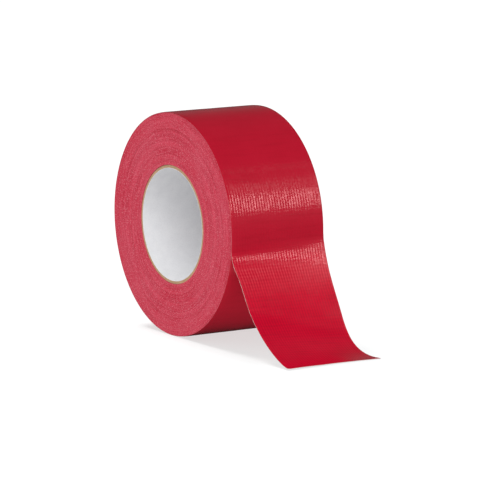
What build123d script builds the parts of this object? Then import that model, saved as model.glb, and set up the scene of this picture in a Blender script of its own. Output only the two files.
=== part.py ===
from build123d import *
from math import cos, radians, sin
import os

# Duct tape roll, millimetres. The roll stands on its rim with the axis of its core along Y.
# The origin is the centre of the core's bore at mid-width, and the free tail points to +X.

# Strip: a film face on a cloth scrim, set in a layer of adhesive
tape_width = 72.0
film_t = 0.080
scrim_t = 0.060
adhesive_t = 0.093
tape_t = film_t + scrim_t + adhesive_t

# Core: a 3 inch paper tube, a white liner inside wound plies of kraft board
bore_r = 38.1
liner_t = 0.2
ply_t = 0.6
ply_count = 3
core_r = bore_r + liner_t + ply_count * ply_t

# Wound tape: all the turns under the outermost one are bonded into one mass
roll_r = 75.7
wound_r = roll_r - tape_t

# Free tail: it leaves the roll at the peel line and runs down to the surface the roll stands on.
# Each edge of the tail is a chain of tangent arcs, one arc to a segment, and the two edges turn
# by different amounts, so the tail is slightly twisted.
peel_angle = -7.0
outer_turn_angle = 359.0
peel_clearance = 0.3
tail_heading = -65.0
segment_length = 24.6
segment_gap = 0.8
near_turns = (9.0, 8.0, 13.0, 25.0)
far_turns = (2.0, 1.0, 34.0, 31.0)

# Layers of the strip, from the sticky underside out: name, lower and upper offset
layers = (
    ("adhesive", 0.0, adhesive_t),
    ("scrim", adhesive_t, adhesive_t + scrim_t),
    ("film", adhesive_t + scrim_t, tape_t),
)

near_plane = Plane.XZ.offset(tape_width / 2)
far_plane = Plane.XZ.offset(-tape_width / 2)


def write(part, name):
    """Label a finished piece and write it to its own STEP file."""
    part.label = name
    export_step(part, f"parts/{name}.step")


def polar(radius, angle):
    """Point in the side view at a radius from the roll's axis and an angle above +X."""
    return (radius * cos(radians(angle)), radius * sin(radians(angle)))


def make_tube(inner_r, outer_r):
    """Tube around the roll's axis over the whole width of the tape."""
    with BuildPart() as tube:
        with BuildSketch(Plane.XZ):
            Circle(outer_r)
            Circle(inner_r, mode=Mode.SUBTRACT)
        extrude(amount=tape_width / 2, both=True)
    return tube.part


def make_outer_turn(inner_r, outer_r):
    """One layer of the outermost turn, which ends at the peel line."""
    end_angle = peel_angle + outer_turn_angle
    with BuildPart() as turn:
        with BuildSketch(Plane.XZ):
            with BuildLine():
                CenterArc((0, 0), outer_r, peel_angle, outer_turn_angle)
                Line(polar(outer_r, end_angle), polar(inner_r, end_angle))
                CenterArc((0, 0), inner_r, peel_angle, outer_turn_angle)
                Line(polar(inner_r, peel_angle), polar(outer_r, peel_angle))
            make_face()
        extrude(amount=tape_width / 2, both=True)
    return turn.part


def advance(point, heading, length, turn):
    """End point and heading of an arc of a given length that turns by a given angle."""
    radius = length / radians(turn)
    x = point[0] + radius * (sin(radians(heading + turn)) - sin(radians(heading)))
    z = point[1] - radius * (cos(radians(heading + turn)) - cos(radians(heading)))
    return (x, z), heading + turn


def segment_start(turns, index):
    """Point and heading where one segment's hinge line crosses an edge of the tail."""
    point = polar(wound_r + peel_clearance, peel_angle)
    heading = tail_heading
    for turn in turns[:index]:
        point, heading = advance(point, heading, segment_length, turn)
    return point, heading


def arc_in_segment(turns, index):
    """Start, tangent, radius and size of a segment's arc along an edge, half a gap short each end."""
    turn = turns[index]
    half_gap_turn = turn * segment_gap / 2 / segment_length
    point, heading = segment_start(turns, index)
    point, heading = advance(point, heading, segment_gap / 2, half_gap_turn)
    tangent = (cos(radians(heading)), sin(radians(heading)))
    return point, tangent, segment_length / radians(turn), turn - 2 * half_gap_turn


def make_tail_layer(index, low, high):
    """One layer of one segment of the tail, ruled between its near and far edges."""
    with BuildPart() as layer:
        for plane, turns in ((near_plane, near_turns), (far_plane, far_turns)):
            point, tangent, radius, arc_size = arc_in_segment(turns, index)
            lower_start = (point[0] - low * tangent[1], point[1] + low * tangent[0])
            upper_start = (point[0] - high * tangent[1], point[1] + high * tangent[0])
            with BuildSketch(plane):
                with BuildLine():
                    lower = JernArc(lower_start, tangent, radius - low, arc_size)
                    upper = JernArc(upper_start, tangent, radius - high, arc_size)
                    Line(lower_start, upper_start)
                    Line(lower @ 1, upper @ 1)
                make_face()
        loft(ruled=True)
    return layer.part


os.makedirs("parts", exist_ok=True)

# Core
write(make_tube(bore_r, bore_r + liner_t), "core_liner")
for ply in range(ply_count):
    ply_r = bore_r + liner_t + ply * ply_t
    write(make_tube(ply_r, ply_r + ply_t), f"core_ply_{ply + 1}")

# Wound tape and the outermost turn
write(make_tube(core_r, wound_r), "wound_tape")
for name, low, high in layers:
    write(make_outer_turn(wound_r + low, wound_r + high), f"outer_turn_{name}")

# Free tail
for index in range(len(near_turns)):
    for name, low, high in layers:
        write(make_tail_layer(index, low, high), f"tail_{index + 1}_{name}")

# Hinge lines of the tail and the number of turns, printed for reference
for index in range(len(near_turns)):
    near, near_heading = segment_start(near_turns, index)
    far, far_heading = segment_start(far_turns, index)
    middle = ((near[0] + far[0]) / 2, 0, (near[1] + far[1]) / 2)
    line = Vector(near[0] - far[0], -tape_width, near[1] - far[1]).normalized()
    print("hinge", index + 1, [round(v, 3) for v in middle], [round(v, 5) for v in line])
turn_count = (roll_r - core_r) / tape_t
print("turns", round(turn_count, 1), "core wall", round(core_r - bore_r, 2))
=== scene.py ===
"""Looks of a red duct tape roll that stands on its rim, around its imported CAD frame. Metres."""

from math import cos, pi, radians, sin

import bpy
import numpy as np
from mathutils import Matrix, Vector


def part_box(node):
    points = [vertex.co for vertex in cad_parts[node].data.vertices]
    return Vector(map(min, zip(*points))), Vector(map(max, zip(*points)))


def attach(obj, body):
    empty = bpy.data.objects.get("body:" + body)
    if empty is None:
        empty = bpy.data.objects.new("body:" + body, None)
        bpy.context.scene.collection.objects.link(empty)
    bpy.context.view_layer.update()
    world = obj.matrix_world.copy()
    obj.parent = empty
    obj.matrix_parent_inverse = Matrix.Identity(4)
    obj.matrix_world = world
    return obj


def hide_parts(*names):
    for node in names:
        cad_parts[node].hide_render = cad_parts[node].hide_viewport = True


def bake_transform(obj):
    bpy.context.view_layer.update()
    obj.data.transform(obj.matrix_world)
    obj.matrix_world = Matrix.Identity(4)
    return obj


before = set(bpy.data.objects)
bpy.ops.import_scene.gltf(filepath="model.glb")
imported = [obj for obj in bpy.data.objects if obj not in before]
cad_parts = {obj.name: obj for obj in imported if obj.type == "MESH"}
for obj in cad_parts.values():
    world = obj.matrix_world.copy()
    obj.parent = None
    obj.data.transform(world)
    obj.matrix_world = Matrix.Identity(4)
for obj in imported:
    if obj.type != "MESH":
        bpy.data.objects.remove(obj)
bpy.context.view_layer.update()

MM = 0.001


def radius_of(node):
    """Outer radius of a round CAD node, about the roll's axis."""
    return max(Vector((v.co.x, v.co.z)).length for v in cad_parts[node].data.vertices)


# Roll and core, from the frame
half_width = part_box("wound_tape")[1].y
width = 2 * half_width
bore_r = min(Vector((v.co.x, v.co.z)).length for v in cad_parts["core_liner"].data.vertices)
liner_r = radius_of("core_liner")
ply_nodes = sorted(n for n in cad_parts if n.startswith("core_ply_"))
core_r = radius_of(ply_nodes[-1])
wound_r = radius_of("wound_tape")
roll_r = radius_of("outer_turn_film")
floor_z = -roll_r

# Layers of the strip, from the frame
film_t = roll_r - radius_of("outer_turn_scrim")
scrim_t = radius_of("outer_turn_scrim") - radius_of("outer_turn_adhesive")
adhesive_t = radius_of("outer_turn_adhesive") - wound_r
tape_t = roll_r - wound_r

# Strip: its length s is zero at the peel line, positive along the free tail, negative on the roll
peel_angle = radians(-7)
tail_length = 98.4 * MM
segment_length = 24.6 * MM
roll_margin = 8 * MM
turn_length = 2 * pi * roll_r
tuck_length = 14 * MM

# Side view of the tail's two edges: where each lifts off the roll, then its heading in degrees
# from +X at lengths in millimetres
near_lift = -2
near_headings = ((5, -66), (14, -47), (24, -58), (36, -59), (50, -46), (64, -39), (78, -30), (90, -22), (98, -7))
far_lift = -8
far_headings = (
    (-2, -75), (6, -73), (14, -68), (24, -62), (36, -59), (50, -62), (62, -50), (74, -26), (86, -8), (98, 3)
)
bend_smoothing = 8 * MM
floor_gap = 0.05 * MM

# Weave of the scrim, which telegraphs through the film
warp_count = 35
warp_pitch = width / warp_count
warp_half_width = 0.24 * MM
weft_pitch = 2.4 * MM
weft_half_width = 0.26 * MM
dash_length = 3.8 * MM
rib_height = 0.016 * MM
layer_gap = 0.001 * MM

# Edges of the strip: they turn down a little, glue oozes past them, and the end is cut at a slant
shoulder_drop = 0.2 * MM
shoulder_width = 3.2 * MM
squeeze_out = 0.12 * MM
end_slant = 5.0 * MM
end_fray = 0.7 * MM

# Core: the strips stop short of the roll's faces, and their seams run along a steep helix
core_recess = 0.35 * MM
ply_recess = (0.06 * MM, 0.20 * MM, 0.10 * MM)
ply_gap = 0.015 * MM
seam_lead = 109.5 * MM
core_bevel = 0.07 * MM

# Faces of the roll: each turn has a crest at the film and a groove at the glue
face_inset = 0.09 * MM
groove_depth = 0.035 * MM

# Camera: direction from the object in degrees, distance and lens
camera_azimuth = 57.35
camera_elevation = 9.47
camera_distance = 2.4
camera_lens = 255.3
camera_aim = (22.37 * MM, -20.24 * MM)

# Softboxes: name, azimuth and elevation in degrees, width, height and power
softbox_distance = 4.0
softboxes = (
    ("front_box", 41, 19.5, 0.60, 1.0, 21.5), ("upper_glow", 42.5, 32, 0.70, 0.6, 3.4),
    ("tail_glow", 48, 38, 0.40, 0.5, 0.5), ("tail_sheen", 54, 45, 0.35, 0.3, 0.8),
    ("end_box", 6, 19.5, 0.60, 1.0, 12), ("left_box", -41, 19.5, 0.60, 1.0, 12),
    ("rear_box", -139, 19.5, 0.60, 1.0, 12), ("far_box", 174, 19.5, 0.60, 1.0, 7),
)


# ---------------------------------------------------------------- random fields


noise_table = np.random.default_rng(11).uniform(-1, 1, (64, 512))


def value_noise(x, y, seed=0):
    """Smooth random numbers from -1 to 1 over a plane, one value to a unit square."""
    x, y = np.broadcast_arrays(np.asarray(x, float) + 7.3 * seed, np.asarray(y, float) + 31.7 * seed)
    x0, y0 = np.floor(x).astype(int), np.floor(y).astype(int)
    fx, fy = x - x0, y - y0
    fx, fy = fx * fx * (3 - 2 * fx), fy * fy * (3 - 2 * fy)
    rows, columns = noise_table.shape

    def at(i, j):
        return noise_table[i % rows, j % columns]

    low = at(x0, y0) * (1 - fx) + at(x0 + 1, y0) * fx
    high = at(x0, y0 + 1) * (1 - fx) + at(x0 + 1, y0 + 1) * fx
    return low * (1 - fy) + high * fy


def smooth_step(low, high, x):
    """Rises smoothly from 0 to 1 as x goes from low to high."""
    t = np.clip((x - low) / (high - low), 0, 1)
    return t * t * (3 - 2 * t)


# ---------------------------------------------------------------- the strip in space


path_start = -20 * MM
path_step = 0.25 * MM
path_s = np.arange(path_start, tail_length + 8 * MM, path_step)


def roll_angle(s):
    """Angle above +X of a point of the strip on the roll, growing as the strip is followed inwards."""
    return peel_angle - s / roll_r


def film_radius(angle):
    """Radius of the wound film's face: a spiral that touches the floor at the roll's lowest point."""
    return roll_r + tape_t * (1.5 * pi - angle) / (2 * pi)


def edge_path(lift, headings):
    """Side view of one edge of the strip's film face, from the roll to past the tail's end."""
    tangent = [np.degrees(roll_angle(s * MM)) - 90 for s in (-60, lift)]
    knots = np.array([-60, lift] + [s for s, _ in headings] + [130]) * MM
    turns = np.array(tangent + [h for _, h in headings] + [headings[-1][1]])
    fine = np.arange(path_start - bend_smoothing, path_s[-1] + bend_smoothing, path_step)
    window = np.hanning(round(bend_smoothing / path_step) + 1)
    smooth = np.convolve(np.interp(fine, knots, turns), window / window.sum(), "same")
    heading = np.radians(np.interp(path_s[:-1] + path_step / 2, fine, smooth))
    angle = roll_angle(path_start)
    start = film_radius(angle) * np.array([cos(angle), sin(angle)])
    steps = np.stack([np.cos(heading), np.sin(heading)], 1) * path_step
    line = np.vstack([start, start + np.cumsum(steps, 0)])
    lowest = line[:, 1].min() - tape_t - floor_gap - floor_z
    line[:, 1] -= lowest * smooth_step(20 * MM, tail_length, path_s)
    return line


near_path = edge_path(near_lift, near_headings)
far_path = edge_path(far_lift, far_headings)


def shoulder(s, u):
    """How far the strip turns down beside its edges, most on the roll."""
    edge = np.minimum(u, 1 - u) * width
    held = 1 - 0.75 * smooth_step(0, 25 * MM, s)
    return shoulder_drop * held * (1 - np.clip(edge / shoulder_width, 0, 1)) ** 2


def cut_end(s, u):
    """Length after the tail's hand-cut end has been given its slant, slight waves and worn near corner."""
    across = u * width
    slant = end_slant * u ** 3
    wave = 0.30 * MM * value_noise(across / (9 * MM), 0.5, 3) + 0.10 * MM * value_noise(across / (2 * MM), 0.5, 4)
    corner = -1.2 * MM * (1 - np.clip(across / (2.2 * MM), 0, 1)) ** 2
    return s + slant * smooth_step(tail_length - 24 * MM, tail_length, s) + (wave + corner) * smooth_step(
        tail_length - 7 * MM, tail_length, s)


def strip_point(s, u, height):
    """Points at length s, share u of the width from the near edge and height over the film's face."""
    s, u, height = np.broadcast_arrays(np.asarray(s, float), u, height)
    s = cut_end(s, u)
    free = s > path_start
    angle = roll_angle(s)
    radius = film_radius(angle)
    near = np.stack([radius * np.cos(angle), radius * np.sin(angle)], -1)
    far = near.copy()
    along_near = np.stack([np.sin(angle), -np.cos(angle)], -1)
    along_far = along_near.copy()
    for line, place, along in ((near_path, near, along_near), (far_path, far, along_far)):
        tangent = np.gradient(line, axis=0)
        for k in range(2):
            place[..., k] = np.where(free, np.interp(s, path_s, line[:, k]), place[..., k])
            along[..., k] = np.where(free, np.interp(s, path_s, tangent[:, k]) / path_step, along[..., k])
    share = u[..., None]
    place = near * (1 - share) + far * share
    along = along_near * (1 - share) + along_far * share
    across = far - near
    # the normal is the strip's direction crossed with the line across it
    normal = np.stack([-along[..., 1] * width, along[..., 1] * across[..., 0] - along[..., 0] * across[..., 1],
                       along[..., 0] * width], -1)
    normal /= np.linalg.norm(normal, axis=-1, keepdims=True)
    point = np.stack([place[..., 0], (u - 0.5) * width, place[..., 1]], -1)
    return point + normal * (height - shoulder(s, u))[..., None]


def weave_relief(s, u):
    """Height of the film's face over the yarns: broken ribs along the tape and faint rows across it."""
    rib = u * warp_count
    wander = 0.16 * value_noise(rib / 3, s / (22 * MM), 1)
    ridge = 0.5 - 0.5 * np.cos(2 * pi * (rib + wander))
    dash = 0.62 + 0.55 * value_noise(np.floor(rib + wander) * 1.7, s / dash_length * 1.6, 2)
    rows = 0.5 - 0.5 * np.cos(2 * pi * (s / weft_pitch + 0.25 * value_noise(rib / 4, s / (15 * MM), 5)))
    patch = 0.8 + 0.35 * value_noise(rib / 9, s / (30 * MM), 6)
    slack = 1 + 1.3 * smooth_step(-4 * MM, 20 * MM, s)
    return rib_height * slack * patch * (ridge * dash + 0.3 * rows * (1 - ridge) + 0.15 * rows)


def ripple(s, u):
    """Slow unevenness of the outer turn."""
    return 0.02 * MM * value_noise(u * 6, s / (60 * MM), 7) + 0.012 * MM * value_noise(u * 14, s / (25 * MM), 8)


# ---------------------------------------------------------------- mesh helpers


def add_mesh(name, points, faces, uv=None, smooth_angle=40):
    """New object from points and faces, smooth but for its corners, with the strip's own UV map."""
    mesh = bpy.data.meshes.new(name)
    mesh.from_pydata(np.asarray(points, float).tolist(), [], faces)
    mesh.polygons.foreach_set("use_smooth", [True] * len(mesh.polygons))
    mesh.set_sharp_from_angle(angle=radians(smooth_angle))
    if uv is not None:
        layer = mesh.uv_layers.new(name="strip")
        corners = np.zeros(len(mesh.loops), int)
        mesh.loops.foreach_get("vertex_index", corners)
        layer.data.foreach_set("uv", np.asarray(uv, float)[corners].ravel())
    mesh.validate()
    piece = bpy.data.objects.new(name, mesh)
    bpy.context.scene.collection.objects.link(piece)
    return piece


def loops_to_faces(rows, size, first=0, paired_caps=False):
    """Faces of a closed form swept from loop to loop, each loop with size points."""
    faces = []
    for i in range(rows - 1):
        a, b = first + i * size, first + (i + 1) * size
        for j in range(size):
            k = (j + 1) % size
            faces.append((a + j, b + j, b + k, a + k))
    last = first + (rows - 1) * size
    if paired_caps:
        for j in range(size // 2 - 1):
            faces.append((first + j, first + j + 1, first + size - 2 - j, first + size - 1 - j))
            faces.append((last + size - 1 - j, last + size - 2 - j, last + j + 1, last + j))
    else:
        faces.append(tuple(range(first, first + size)))
        faces.append(tuple(range(last + size - 1, last - 1, -1)))
    return faces


def layer_shell(name, s_rows, top_u, low_u, top, low, overhang=0.0):
    """Closed sheet over part of the strip, between the heights top(s, u) and low(s, u).
    Its sides stand out past the film by about the overhang."""
    u = np.concatenate([top_u, low_u[::-1]])[None]
    s = np.asarray(s_rows)[:, None]
    sides = ((top, top_u), (low, low_u[::-1]))
    height = np.concatenate([np.broadcast_to(side(s, line[None]), (len(s), len(line))) for side, line in sides], 1)
    uneven = overhang * (1 + 0.9 * value_noise(s / (1.1 * MM), 0.5, 9)) / width
    u = u + uneven * (1.0 * (u == 1) - 1.0 * (u == 0))
    points = strip_point(s, u, height).reshape(-1, 3)
    uv = np.stack(np.broadcast_arrays(u * width, s), -1).reshape(-1, 2)
    faces = loops_to_faces(len(s_rows), u.shape[1], paired_caps=len(top_u) == len(low_u))
    return add_mesh(name, points, faces, uv)


def yarn_mesh(name, s, u, height):
    """Closed yarns from arrays of shape (yarns, stations, corners) in the strip's coordinates."""
    count, stations, corners = s.shape
    points = strip_point(s, u, height).reshape(-1, 3)
    uv = np.stack([u * width, s], -1).reshape(-1, 2)
    faces = []
    for k in range(count):
        faces += loops_to_faces(stations, corners, first=k * stations * corners)
    return add_mesh(name, points, faces, uv, smooth_angle=60)


def join(name, parts):
    """One object out of several."""
    with bpy.context.temp_override(active_object=parts[0], selected_editable_objects=parts):
        bpy.ops.object.join()
    parts[0].name = name
    parts[0].data.name = name
    return parts[0]


# ---------------------------------------------------------------- materials


class Surface:
    """Builds one procedural material around its principled shader. Each method adds one step to it."""

    def __init__(self, name, **constants):
        self.material = bpy.data.materials.new(name)
        self.material.use_nodes = True
        self.tree = self.material.node_tree
        self.shader = self.tree.nodes["Principled BSDF"]
        for socket, value in constants.items():
            self.shader.inputs[socket.replace("_", " ")].default_value = value

    def node(self, kind, inputs=None, **settings):
        made = self.tree.nodes.new("ShaderNode" + kind)
        for key, value in settings.items():
            setattr(made, key, value)
        for key, value in (inputs or {}).items():
            self.feed(made.inputs[key], value)
        return made

    def feed(self, socket, value):
        if isinstance(value, bpy.types.NodeSocket):
            self.tree.links.new(value, socket)
        else:
            socket.default_value = value

    def math(self, operation, a, b=None, c=None):
        made = self.node("Math", operation=operation)
        for k, value in enumerate((a, b, c)):
            if value is not None:
                self.feed(made.inputs[k], value)
        return made.outputs[0]

    def strip(self):
        """The strip's coordinates in metres: across, and along."""
        vector = self.node("UVMap", uv_map="strip").outputs[0]
        parts = self.node("SeparateXYZ", {"Vector": vector})
        return vector, parts.outputs["X"], parts.outputs["Y"]

    def place(self):
        """Position on the object in metres."""
        return self.node("TexCoord").outputs["Object"]

    def noise(self, vector, size, detail=2.0, roughness=0.5, stretch=(1, 1, 1)):
        """Noise from 0 to 1 whose features are about size metres across."""
        scaled = self.node("VectorMath", {0: vector, 1: [x / size for x in stretch]}, operation="MULTIPLY")
        made = self.node("TexNoise", {"Vector": scaled.outputs[0], "Scale": 1.0, "Detail": detail,
                                      "Roughness": roughness, "Distortion": 0.0})
        return made.outputs[0]

    def remap(self, value, low, high, to_low=0.0, to_high=1.0):
        made = self.node("MapRange", {"Value": value, "From Min": low, "From Max": high,
                                      "To Min": to_low, "To Max": to_high})
        return made.outputs[0]

    def mix(self, factor, a, b):
        made = self.node("Mix", data_type="RGBA")
        for key, value in ((0, factor), (6, a), (7, b)):
            self.feed(made.inputs[key], value)
        return made.outputs[2]

    def bump(self, height, distance, normal=None):
        made = self.node("Bump", {"Height": height, "Distance": distance, "Strength": 1.0})
        if normal is not None:
            self.feed(made.inputs["Normal"], normal)
        return made.outputs[0]

    def finish(self, colour, roughness, normal=None):
        self.feed(self.shader.inputs["Base Color"], colour)
        self.feed(self.shader.inputs["Roughness"], roughness)
        if normal is not None:
            self.feed(self.shader.inputs["Normal"], normal)
        return self.material


def red_film():
    """Glossy red polyethylene, painted a little brighter where it is free as if lit through from behind, with
    painted shade in the weave's grooves and a painted sheen past the peel line. Its clear skin shows the scrim's
    weave.
    """
    m = Surface("red_film", IOR=1.5, Specular_IOR_Level=0.05, Coat_Weight=1.0, Coat_Roughness=0.16, Coat_IOR=1.5)
    vector, across, along = m.strip()
    slack = m.remap(along, -6 * MM, 16 * MM)
    clouds = m.noise(vector, 25 * MM, 1)
    dashes = m.noise(vector, 1.0 * MM, 2, stretch=(1 / 1.9, 1 / 8, 1))
    threads = m.noise(vector, 0.8 * MM, 2, stretch=(1, 0.16, 1))
    grain = m.noise(vector, 0.45 * MM, 2)
    streaks = m.noise(vector, 1.0 * MM, 2, stretch=(1 / 30, 1 / 2.5, 1))
    # colour: cloudy ink, with painted light making the free tail brighter as though lit through from behind, and
    # with dark threads and streaks
    wound = m.mix(m.remap(clouds, 0.3, 0.7), (0.550, 0.0080, 0.0290, 1), (0.575, 0.0090, 0.0315, 1))
    # painted light: the free tail's ink is a lighter copy of the wound film's, standing in for light shining
    # through it
    free = m.mix(m.remap(clouds, 0.3, 0.7), (0.720, 0.0010, 0.0290, 1), (0.750, 0.0014, 0.0315, 1))
    base = m.mix(slack, wound, free)
    dark = (0.36, 0.003, 0.012, 1)
    base = m.mix(m.remap(threads, 0.4, 0.75, 0.0, 0.10), base, dark)
    base = m.mix(m.remap(streaks, 0.5, 0.75, 0.0, 0.22), base, dark)
    # weave: warps lie in ribs along the tape and wefts in rows across it, both a little irregular
    wander = m.math("MULTIPLY_ADD", m.noise(vector, 12 * MM, 1), 1.8, -0.9)
    rib = m.math("COSINE", m.math("MULTIPLY_ADD", across, 2 * pi / warp_pitch, wander))
    row = m.math("COSINE", m.math("MULTIPLY_ADD", along, 2 * pi / weft_pitch, m.math("MULTIPLY", wander, 1.5)))
    broken = m.remap(dashes, 0.36, 0.60, 0.62, 1.0)
    crest = m.math("MULTIPLY", m.remap(rib, 0.9, -0.9), broken)
    height = m.math("MULTIPLY_ADD", row, m.remap(slack, 0.0, 1.0, 0.06, 0.16), crest)
    height = m.math("MULTIPLY_ADD", threads, 0.14, height)
    # painted shade: the grooves between the yarns are darkened in colour, most where the film is free
    groove = m.math("MULTIPLY", m.remap(slack, 0.0, 1.0, 0.05, 0.32), m.remap(height, 0.9, 0.0))
    # the dark red here is painted shade in the grooves
    base = m.mix(groove, base, (0.30, 0.001, 0.010, 1))
    # painted sheen: where the film has just been pulled off, its colour is paled over the yarns' crests, standing
    # in for a reflection of light
    painted_sheen_zone = m.math("MULTIPLY", m.remap(along, 7 * MM, 12 * MM), m.remap(along, 33 * MM, 14 * MM))
    yarns = m.math("MULTIPLY", painted_sheen_zone, m.remap(height, 0.2, 1.2, 0.06, 0.80))
    # the pale pink mixed in here is the painted sheen
    base = m.mix(yarns, base, (0.80, 0.075, 0.10, 1))
    skin = m.bump(height, 0.070 * MM)
    m.feed(m.shader.inputs["Coat Normal"], skin)
    normal = m.bump(grain, 0.003 * MM)
    return m.finish(base, 0.42, normal)


def turn_edges():
    """Cut edges of the wound turns: red film and pale adhesive, matte, in faint rings with fine specks."""
    m = Surface("turn_edges", IOR=1.45, Specular_IOR_Level=0.25)
    place = m.place()
    flat = m.node("VectorMath", {0: place, 1: (1, 0, 1)}, operation="MULTIPLY").outputs[0]
    radius = m.node("VectorMath", {0: flat}, operation="LENGTH").outputs["Value"]
    ring = m.node("CombineXYZ", {"X": radius, "Y": m.noise(place, 30 * MM, 1)})
    ring = m.node("VectorMath", {0: ring.outputs[0], 1: (1, 0.002, 1)}, operation="MULTIPLY").outputs[0]
    rings = m.noise(ring, 0.85 * MM, 1, 0.5)
    bands = m.noise(ring, 4 * MM, 3, 0.6)
    specks = m.noise(place, 0.55 * MM, 1, 0.5)
    fibres = m.noise(place, 0.65 * MM, 1, 0.5)
    clouds = m.noise(place, 22 * MM, 3)
    base = m.mix(m.remap(rings, 0.35, 0.65), (0.50, 0.012, 0.040, 1), (0.68, 0.060, 0.105, 1))
    base = m.mix(m.remap(bands, 0.38, 0.62, 0.0, 0.40), base, (0.54, 0.010, 0.036, 1))
    base = m.mix(m.remap(specks, 0.54, 0.68, 0.0, 0.60), base, (0.80, 0.26, 0.31, 1))
    base = m.mix(m.remap(fibres, 0.45, 0.30, 0.0, 0.7), base, (0.40, 0.010, 0.034, 1))
    base = m.mix(m.remap(clouds, 0.35, 0.7, 0.0, 0.22), base, (0.68, 0.13, 0.18, 1))
    normal = m.bump(specks, 0.10 * MM)
    return m.finish(base, m.remap(rings, 0.3, 0.7, 0.62, 0.78), normal)


def scrim_cloth():
    """Off-white cotton and polyester yarn."""
    m = Surface("scrim_cloth", Sheen_Weight=0.2)
    vector, _, _ = m.strip()
    fibre = m.noise(vector, 0.3 * MM, 3, 0.6, stretch=(1, 0.3, 1))
    dye = m.noise(vector, 6 * MM, 2)
    base = m.mix(m.remap(dye, 0.3, 0.7), (0.72, 0.60, 0.58, 1), (0.80, 0.70, 0.66, 1))
    base = m.mix(m.remap(fibre, 0.35, 0.7, 0.0, 0.3), base, (0.55, 0.36, 0.35, 1))
    return m.finish(base, m.remap(fibre, 0.2, 0.8, 0.75, 0.9), m.bump(fibre, 0.02 * MM))


def adhesive():
    """Tacky natural rubber adhesive, pale with a red cast, redder where it is bonded between films."""
    m = Surface("adhesive", IOR=1.5, Specular_IOR_Level=0.4)
    vector, across, along = m.strip()
    warp = m.math("COSINE", m.math("MULTIPLY", across, 2 * pi / warp_pitch))
    weft = m.math("COSINE", m.math("MULTIPLY", along, 2 * pi / weft_pitch))
    grid = m.math("MAXIMUM", m.math("MULTIPLY", warp, -1.0), weft)
    clouds = m.noise(vector, 9 * MM, 3)
    lumps = m.noise(vector, 0.7 * MM, 3, 0.6)
    base = m.mix(m.remap(clouds, 0.3, 0.7), (0.80, 0.55, 0.53, 1), (0.86, 0.62, 0.60, 1))
    base = m.mix(m.remap(grid, 0.2, 1.0, 0.0, 0.35), base, (0.84, 0.74, 0.69, 1))
    base = m.mix(m.remap(along, 4 * MM, -2 * MM), base, (0.66, 0.13, 0.17, 1))
    normal = m.bump(grid, 0.02 * MM)
    normal = m.bump(lumps, 0.02 * MM, normal)
    return m.finish(base, m.remap(lumps, 0.3, 0.7, 0.35, 0.55), normal)


def kraft_board():
    """Brown core board with long fibres and a darker glued layer here and there."""
    m = Surface("kraft_board", Specular_IOR_Level=0.2)
    place = m.place()
    fibre = m.noise(place, 0.5 * MM, 3, 0.6)
    patch = m.noise(place, 5 * MM, 3)
    base = m.mix(m.remap(patch, 0.3, 0.7), (0.46, 0.29, 0.165, 1), (0.56, 0.37, 0.22, 1))
    base = m.mix(m.remap(fibre, 0.5, 0.75, 0.0, 0.5), base, (0.68, 0.50, 0.33, 1))
    base = m.mix(m.remap(fibre, 0.45, 0.25, 0.0, 0.5), base, (0.30, 0.17, 0.09, 1))
    return m.finish(base, m.remap(fibre, 0.2, 0.8, 0.8, 0.95), m.bump(fibre, 0.06 * MM))


def liner_paper():
    """White bore liner: smooth uncoated paper with faint fibre clouds."""
    m = Surface("liner_paper", Specular_IOR_Level=0.3)
    place = m.place()
    fibre = m.noise(place, 0.8 * MM, 3, 0.6)
    clouds = m.noise(place, 7 * MM, 3)
    base = m.mix(m.remap(clouds, 0.3, 0.7), (0.80, 0.80, 0.82, 1), (0.85, 0.85, 0.865, 1))
    base = m.mix(m.remap(fibre, 0.5, 0.8, 0.0, 0.4), base, (0.66, 0.65, 0.65, 1))
    return m.finish(base, m.remap(fibre, 0.2, 0.8, 0.55, 0.7), m.bump(fibre, 0.015 * MM))


def floor_paint():
    """Plain pale floor that glows a little, as a lit sweep does, so that shadows on it stay light."""
    m = Surface("floor_paint", Specular_IOR_Level=0.0, Emission_Color=(0.98, 1, 1, 1), Emission_Strength=0.645)
    clouds = m.noise(m.place(), 0.5, 2)
    return m.finish(m.mix(m.remap(clouds, 0.3, 0.7), (0.30, 0.30, 0.30, 1), (0.31, 0.31, 0.31, 1)), 0.9)


# ---------------------------------------------------------------- core


def paper_tube(name, inner, outer, end, phase, seam, angular, rows, fray, seed):
    """One spiral-wound strip of the core, cut square at both ends, with an open helical seam."""
    bevel = min(core_bevel, (outer - inner) / 4)
    y = np.linspace(-end + bevel, end - bevel, rows)
    loop_y = np.concatenate([[-end], y, [end, end], y[::-1], [-end]])
    loop_r = np.concatenate([[inner + bevel], y * 0 + inner, [inner + bevel, outer - bevel], y * 0 + outer,
                             [outer - bevel]])
    turn = np.linspace(0, 2 * pi - seam / inner, angular)[:, None]
    angle = phase + 2 * pi * loop_y[None] / seam_lead + turn
    random = np.random.default_rng(seed)
    at_end = (np.abs(loop_y) > end - bevel / 2)[None]
    loose = fray * random.uniform(-1, 0.3, (angular, 1)) * np.sign(loop_y)[None] * at_end
    y_all = np.broadcast_to(loop_y[None], angle.shape) + loose
    r_all = np.broadcast_to(loop_r[None], angle.shape)
    points = np.stack([r_all * np.cos(angle), y_all, -r_all * np.sin(angle)], -1).reshape(-1, 3)
    faces = [face[::-1] for face in loops_to_faces(angular, len(loop_y), paired_caps=True)]
    return add_mesh(name, points, faces)


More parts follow.
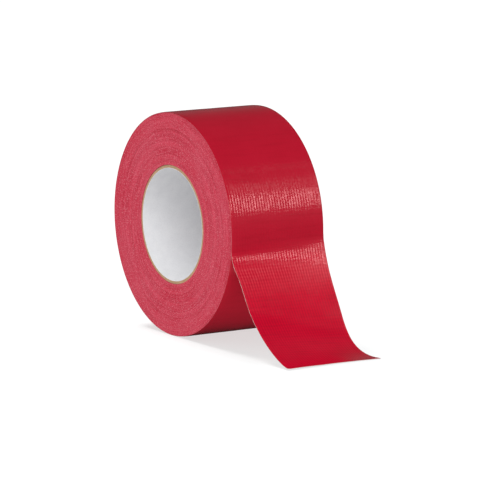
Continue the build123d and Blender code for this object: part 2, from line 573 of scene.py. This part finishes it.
def build_core():
    """White liner and kraft plies, each wound with its seam in another place."""
    liner = paper_tube("bore_liner", bore_r, liner_r - 0.02 * MM, half_width - core_recess, phase=0.9,
                       seam=0.25 * MM, angular=240, rows=73, fray=0.03 * MM, seed=5)
    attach(liner, "roll")
    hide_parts("core_liner")
    liner.data.materials.append(liner_paper())
    board = kraft_board()
    ply_t = (core_r - liner_r) / len(ply_nodes)
    for k, node in enumerate(ply_nodes):
        low = liner_r + k * ply_t
        ply = paper_tube(f"core_board_{k + 1}", low + ply_gap, low + ply_t - ply_gap,
                         half_width - core_recess - ply_recess[k], phase=2.1 * k + 0.4,
                         seam=0.4 * MM, angular=200, rows=45, fray=0.05 * MM, seed=20 + k)
        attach(ply, "roll")
        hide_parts(node)
        ply.data.materials.append(board)


# ---------------------------------------------------------------- wound turns


def build_wound_turns():
    """All the turns under the outermost one: a spiral of fine ridges on both faces of the roll."""
    around = 160
    turns = int((wound_r - core_r) / tape_t)
    stations = np.arange(around * (turns + 1) + 1)
    # the angle falls and the radius grows from the core out, and both meet the outer turn's end
    angle = peel_angle + 2 * pi * (turns + 2) - 2 * pi * stations / around
    crest_r = np.maximum(film_radius(angle), core_r + 0.03 * MM)
    turn = stations / around
    rows = []
    for side in (-1, 1):
        seed = 40 + side
        wander = 0.05 * value_noise(turn / 2.5, 3 * np.cos(angle), seed)
        flutter = 0.03 * value_noise(turn, 5 * np.sin(angle), seed + 1)
        step = 0.05 * value_noise(turn / 14, 0.5, seed + 2)
        crest_y = half_width - face_inset - MM * (wander + flutter + step)
        groove_y = crest_y - groove_depth
        for r, y in ((crest_r, crest_y), (crest_r + tape_t / 2, groove_y)):
            worn = shoulder_drop * smooth_step(wound_r - 5 * MM, wound_r, r)
            rows.append(np.stack([(r - worn) * np.cos(angle), side * y, (r - worn) * np.sin(angle)], -1))
    count = len(stations)
    points = np.concatenate(rows)

    def at(side, line, n):
        """Point of a face on the crest, the groove or, as line 2, the next turn's crest."""
        if line == 2:
            line, n = 0, n + around
        return (2 * side + line) * count + n

    faces = []
    for side in range(2):
        for n in range(around * turns):
            for line in range(2):
                quad = (at(side, line, n), at(side, line, n + 1), at(side, line + 1, n + 1), at(side, line + 1, n))
                faces.append(quad[::-1] if side else quad)
    # walls at the bore and under the outermost turn, between the two faces
    for first, outwards in ((0, False), (around * turns, True)):
        loop = [(0, first + k) for k in range(around + 1)] + [(1, first)]
        for (line_a, a), (line_b, b) in zip(loop, loop[1:] + loop[:1]):
            quad = (at(0, line_a, a), at(0, line_b, b), at(1, line_b, b), at(1, line_a, a))
            faces.append(quad if outwards else quad[::-1])
    piece = add_mesh("wound_turns", points, faces, smooth_angle=50)
    piece.data.materials.append(turn_edges())
    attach(piece, "roll")
    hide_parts("wound_tape")


# ---------------------------------------------------------------- strip: outer turn and tail


fine_u = np.linspace(0, 1, 4 * warp_count + 1)
coarse_u = np.concatenate([np.arange(0, 4.1, 0.5), np.arange(8, 36.1, 7)]) * MM / width
coarse_u = np.unique(np.round(np.concatenate([coarse_u, 1 - coarse_u]), 6))


def film_top(s, u):
    """Outer side of the film."""
    return weave_relief(s, u) + ripple(s, u)


def film_low(s, u):
    """Side of the film that lies on the scrim."""
    return -film_t


def adhesive_top(s, u):
    """Side of the adhesive that lies under the scrim."""
    return -film_t - scrim_t


def bonded_low(s, u):
    """Sticky side of the outer turn, flat on the turn below."""
    return -tape_t + 0.004 * MM


def adhesive_low(s, u):
    """Sticky side, which the yarns print through on the free tail."""
    warp = np.cos(2 * pi * u * warp_count)
    weft = np.cos(2 * pi * s / weft_pitch)
    printed = 0.010 * MM * np.maximum(-warp, weft) * smooth_step(0, 6 * MM, s)
    return -tape_t + 0.011 * MM + printed


def laid_scrim(name, s_rows, fray=0.0, seed=0):
    """Open cloth of flat yarns: warps along the tape under the film, wefts across it below them."""
    random = np.random.default_rng(seed)
    top = -film_t - layer_gap
    middle = top - scrim_t / 2 + layer_gap
    low = top - scrim_t + 3 * layer_gap
    corners = np.array([-1, 1, 1, -1])
    warp_u = (np.arange(warp_count) + 0.5) / warp_count
    s = np.broadcast_to(s_rows[None, :, None], (warp_count, len(s_rows), 4)).copy()
    if fray:
        s[:, -1] += fray * random.uniform(0, 1, (warp_count, 1)) ** 2
    u = warp_u[:, None, None] + corners * warp_half_width / width + 0 * s
    height = np.array([top, top, middle, middle]) + 0 * s
    warps = yarn_mesh(name + "_warp", s, u, height)
    # the wefts keep clear of both ends of the length, so that none is cut along
    first = np.ceil((s_rows[0] + 0.35 * MM) / weft_pitch)
    last = np.floor((s_rows[-1] - 0.35 * MM) / weft_pitch)
    weft_s = np.arange(first, last + 1) * weft_pitch
    s = weft_s[:, None, None] - corners * weft_half_width + np.zeros((1, len(coarse_u), 1))
    u = np.clip(coarse_u, 0.0005, 0.9995)[None, :, None] + 0 * s
    crossing = middle - layer_gap
    height = np.array([crossing, crossing, low, low]) + 0 * s
    wefts = yarn_mesh(name + "_weft", s, u, height)
    return join(name, [warps, wefts])


def finish_piece(piece, slot, material, *nodes):
    """Gives a piece its material and hides the CAD nodes that it stands for."""
    piece.data.materials.append(material)
    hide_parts(*nodes)


def build_outer_turn(film, cloth, glue):
    """The last whole turn, bonded down, with its inner end tucked under the peel line."""
    s_rows = np.linspace(-roll_margin, -turn_length - tuck_length, 400)[::-1]
    yarn_rows = np.append(s_rows[:-1:2], s_rows[-1])
    face = layer_shell("outer_film", s_rows, fine_u, coarse_u, film_top, film_low)
    scrim = laid_scrim("outer_scrim", yarn_rows)
    sticky = layer_shell("outer_adhesive", s_rows, coarse_u, coarse_u, adhesive_top, bonded_low, squeeze_out / 2)
    pieces = (
        (face, "red_film", film, "outer_turn_film"),
        (scrim, "scrim_cloth", cloth, "outer_turn_scrim"),
        (sticky, "adhesive", glue, "outer_turn_adhesive"),
    )
    for piece, slot, material, node in pieces:
        finish_piece(piece, slot, material, node)
        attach(piece, "roll")


def blend_points(s_start, s_end):
    """Start and end of a bend, placed so that every point before s_start and after s_end moves rigidly."""
    u = np.linspace(0, 1, 9)
    middle = strip_point(np.array([s_start, s_end]), 0.5, 0.0)
    axis = middle[1] - middle[0]
    axis /= np.linalg.norm(axis)
    ahead = np.concatenate([strip_point(s_start, u, h) @ axis for h in (0.0, -tape_t)]).max()
    behind = np.concatenate([strip_point(s_end, u, h) @ axis for h in (0.0, -tape_t)]).min()
    origin = middle[0] - axis * (middle[0] @ axis)
    return origin + axis * (ahead + 0.1 * MM), origin + axis * (behind - 0.1 * MM)


def build_tail(film, cloth, glue):
    """The free tail in four lengths. Each spans one hinge."""
    middles = [(k + 0.5) * segment_length for k in range(4)]
    lengths = zip([-roll_margin] + middles, middles[:-1] + [tail_length])
    bends = zip([0.0] + middles, middles)
    for k, ((s_from, s_to), bend) in enumerate(zip(lengths, bends)):
        rows = np.linspace(s_from, s_to, round((s_to - s_from) / (0.82 * MM)) + 1)
        number = k + 1
        face = layer_shell(f"tail_film_{number}", rows, fine_u, fine_u, film_top, film_low)
        scrim = laid_scrim(f"tail_scrim_{number}", rows, end_fray if k == 3 else 0.0, 70 + k)
        sticky = layer_shell(f"tail_adhesive_{number}", rows, fine_u, fine_u, adhesive_top, adhesive_low,
                             squeeze_out)
        finish_piece(face, "red_film", film, f"tail_{number}_film")
        finish_piece(scrim, "scrim_cloth", cloth, f"tail_{number}_scrim")
        finish_piece(sticky, "adhesive", glue, f"tail_{number}_adhesive")
        start, end = blend_points(*bend)
        for piece in (face, scrim, sticky):
            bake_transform(piece)


# ---------------------------------------------------------------- stage, light and camera


def build_floor():
    """Plain square floor under the roll, out of sight of reflections and bounced light."""
    size = 9.0
    steps = 24
    line = np.linspace(-size, size, steps)
    points = [(x, y, floor_z) for y in line for x in line]
    faces = [(j * steps + i, j * steps + i + 1, (j + 1) * steps + i + 1, (j + 1) * steps + i)
             for j in range(steps - 1) for i in range(steps - 1)]
    floor = add_mesh("floor", points, faces)
    floor.data.materials.append(floor_paint())
    floor.visible_glossy = False
    floor.visible_diffuse = False
    return floor


def softbox(name, azimuth, elevation, wide, tall, power):
    """Warm softbox turned towards the origin, which only shows as a highlight."""
    light = bpy.data.lights.new(name, "AREA")
    light.shape = "RECTANGLE"
    light.size, light.size_y, light.energy = wide, tall, power
    light.color = (1.0, 0.58, 0.58)
    lamp = bpy.data.objects.new(name, light)
    bpy.context.scene.collection.objects.link(lamp)
    turn, rise = radians(azimuth), radians(elevation)
    back = Vector((cos(turn) * cos(rise), sin(turn) * cos(rise), sin(rise))).normalized()
    lamp.location = back * softbox_distance
    lamp.rotation_euler = back.to_track_quat("Z", "Y").to_euler()
    lamp.visible_camera = False
    lamp.visible_diffuse = False
    return lamp


def build_world():
    """Pale tent, brightest low in front, dim in mirror directions, and plain white where it is seen."""
    world = bpy.data.worlds.new("studio")
    bpy.context.scene.world = world
    world.use_nodes = True
    nodes, links = world.node_tree.nodes, world.node_tree.links
    direction = nodes.new("ShaderNodeTexCoord")
    rays = nodes.new("ShaderNodeLightPath")

    def ramp(axis, stops):
        """Grey level against the direction's share along an axis, from -1 to 1."""
        share = nodes.new("ShaderNodeVectorMath")
        share.operation = "DOT_PRODUCT"
        share.inputs[1].default_value = axis
        links.new(direction.outputs["Generated"], share.inputs[0])
        span = nodes.new("ShaderNodeMapRange")
        span.inputs["From Min"].default_value = -1
        links.new(share.outputs["Value"], span.inputs["Value"])
        made = nodes.new("ShaderNodeValToRGB")
        while len(made.color_ramp.elements) < len(stops):
            made.color_ramp.elements.new(0.5)
        for element, (place, level) in zip(made.color_ramp.elements, stops):
            element.position = (place + 1) / 2
            element.color = (level, level, level, 1)
        links.new(span.outputs[0], made.inputs[0])
        return made.outputs[0]

    def choose(ray, plain, other):
        """One value for rays of a kind and another for all the rest."""
        mix = nodes.new("ShaderNodeMix")
        mix.data_type = "RGBA"
        links.new(rays.outputs[ray], mix.inputs[0])
        for k, value in ((6, plain), (7, other)):
            if isinstance(value, bpy.types.NodeSocket):
                links.new(value, mix.inputs[k])
            else:
                mix.inputs[k].default_value = (value, value, value, 1)
        return mix.outputs[2]

    tent = ramp((0.1, -0.88, -0.46), ((-0.95, 0.0), (0.95, 1.02)))
    mirrored = ramp((0, 0, 1), ((-0.10, 0.015), (0.15, 0.12), (0.55, 0.035), (1.0, 0.03)))
    level = choose("Is Camera Ray", choose("Is Glossy Ray", tent, mirrored), 1.0)
    links.new(level, nodes["Background"].inputs["Color"])


def sun_light(name, direction, strength, spread):
    """Parallel soft light from a direction, spread over an angle in degrees."""
    light = bpy.data.lights.new(name, "SUN")
    light.energy, light.angle = strength, radians(spread)
    lamp = bpy.data.objects.new(name, light)
    bpy.context.scene.collection.objects.link(lamp)
    lamp.rotation_euler = Vector(direction).normalized().to_track_quat("Z", "Y").to_euler()
    return lamp


def light_only(lamp, target, excluded=False):
    """Makes a lamp light only one object, or everything but it."""
    group = bpy.data.collections.new(lamp.name + "_targets")
    group.objects.link(target)
    if excluded:
        group.collection_objects[0].light_linking.link_state = "EXCLUDE"
    lamp.light_linking.receiver_collection = group


def build_lights(floor):
    """Two suns for the matte parts, softboxes for the gloss, and a sun of its own for the floor."""
    build_world()
    lit = [
        sun_light("key", (0.62, -0.42, 0.66), 1.50, 50),
        sun_light("back_fill", (-0.35, 0.85, 0.40), 1.1, 30),
    ]
    for lamp in lit:
        lamp.visible_glossy = False
    lit += [softbox(*row) for row in softboxes]
    for lamp in lit:
        light_only(lamp, floor, excluded=True)
    light_only(sun_light("floor_light", (-0.5, 0.0, 0.87), 4.0, 22), floor)
    bpy.context.scene.view_settings.view_transform = "Standard"


def build_camera():
    """Long lens at the photo's viewing angle."""
    azimuth, elevation = radians(camera_azimuth), radians(camera_elevation)
    back = Vector((sin(azimuth) * cos(elevation), -cos(azimuth) * cos(elevation), sin(elevation)))
    right = Vector((cos(azimuth), sin(azimuth), 0))
    up = back.cross(right)
    data = bpy.data.cameras.new("camera")
    data.lens = camera_lens
    data.clip_end = 50
    camera = bpy.data.objects.new("camera", data)
    bpy.context.scene.collection.objects.link(camera)
    camera.location = right * camera_aim[0] + up * camera_aim[1] + back * camera_distance
    camera.rotation_euler = back.to_track_quat("Z", "Y").to_euler()
    bpy.context.scene.camera = camera


build_camera()
build_core()
build_wound_turns()
film, cloth, glue = red_film(), scrim_cloth(), adhesive()
build_outer_turn(film, cloth, glue)
build_tail(film, cloth, glue)
build_lights(build_floor())
